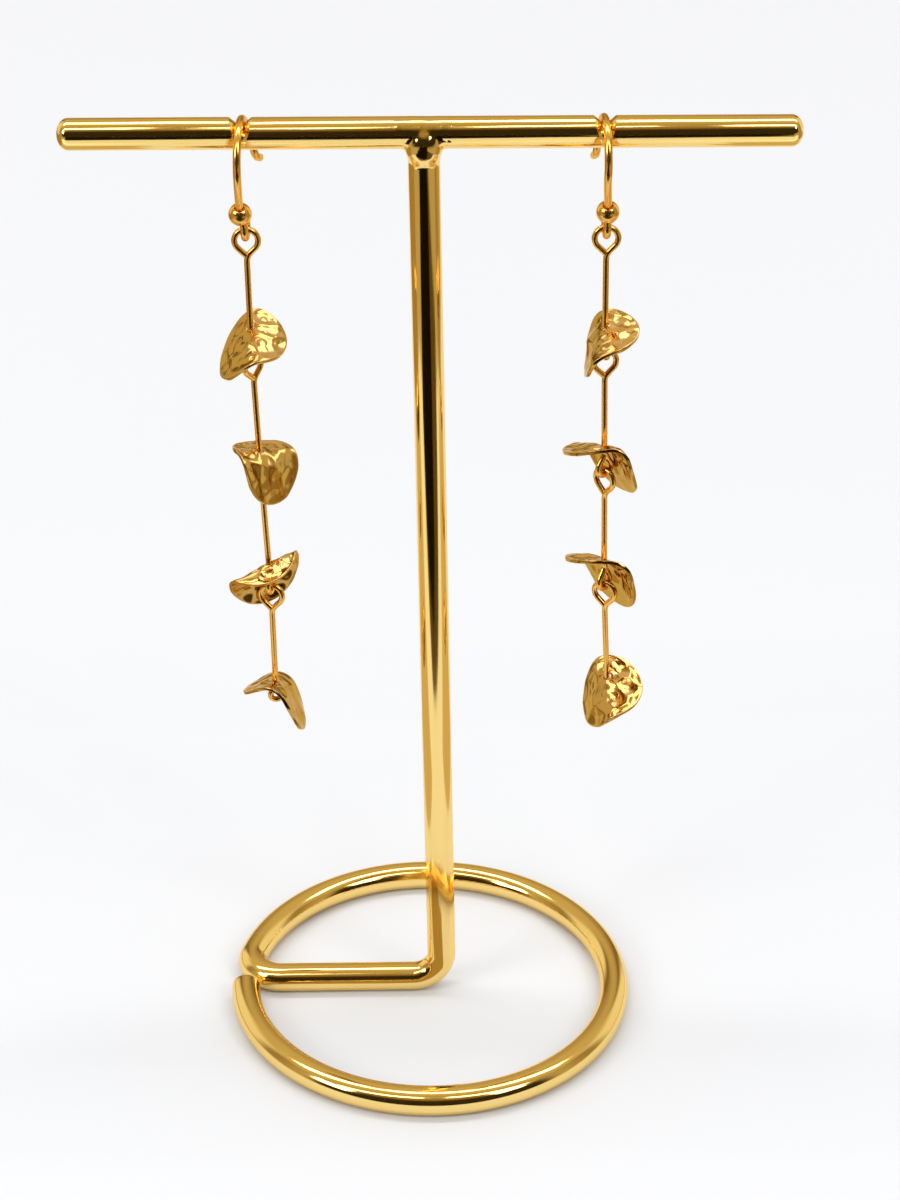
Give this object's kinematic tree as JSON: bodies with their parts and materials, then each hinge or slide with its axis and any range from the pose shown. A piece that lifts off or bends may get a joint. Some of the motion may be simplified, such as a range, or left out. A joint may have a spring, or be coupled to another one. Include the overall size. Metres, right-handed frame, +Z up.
{
  "type": "pair of dangle earrings on a t-bar display stand",
  "caption": "Gold dangle earrings of folded hammered petals on wire links, hung by ear hooks in the notches of a bent-rod T-bar stand with a ring base.",
  "frame": {"origin": "on the table, under the middle of the stand's bounding box", "axes": "+X along the crossbar to the right, -Y towards the front of the stand, +Z up"},
  "size_m": [0.0762, 0.0476, 0.1091],
  "materials": {
    "stand_gold": "polished gold plating",
    "hook_gold": "polished gold",
    "wire_gold": "polished gold",
    "petal_gold": "hammered gold, softly polished"
  },
  "bodies": {
    "stand": {"display_stand": "stand_gold", "ear_hook_left": "hook_gold", "ear_hook_right": "hook_gold"},
    "drop_left": {"link_wire_left_1": "wire_gold", "petal_left_1": "petal_gold", "link_wire_left_2": "wire_gold", "petal_left_2": "petal_gold", "link_wire_left_3": "wire_gold", "petal_left_3": "petal_gold", "link_wire_left_4": "wire_gold", "petal_left_4": "petal_gold"},
    "drop_right": {"link_wire_right_1": "wire_gold", "petal_right_1": "petal_gold", "link_wire_right_2": "wire_gold", "petal_right_2": "petal_gold", "link_wire_right_3": "wire_gold", "petal_right_3": "petal_gold", "link_wire_right_4": "wire_gold", "petal_right_4": "petal_gold"}
  },
  "joints": [
    {"name": "swing_left", "type": "hinge", "parent": "stand", "child": "drop_left", "pos_m": [-0.0192, 0.0018, 0.09692], "axis": [1, 0, 0], "range_deg": [-30, 30]},
    {"name": "swing_right", "type": "hinge", "parent": "stand", "child": "drop_right", "pos_m": [0.01825, 0.0018, 0.09692], "axis": [1, 0, 0], "range_deg": [-30, 30]}
  ]
}
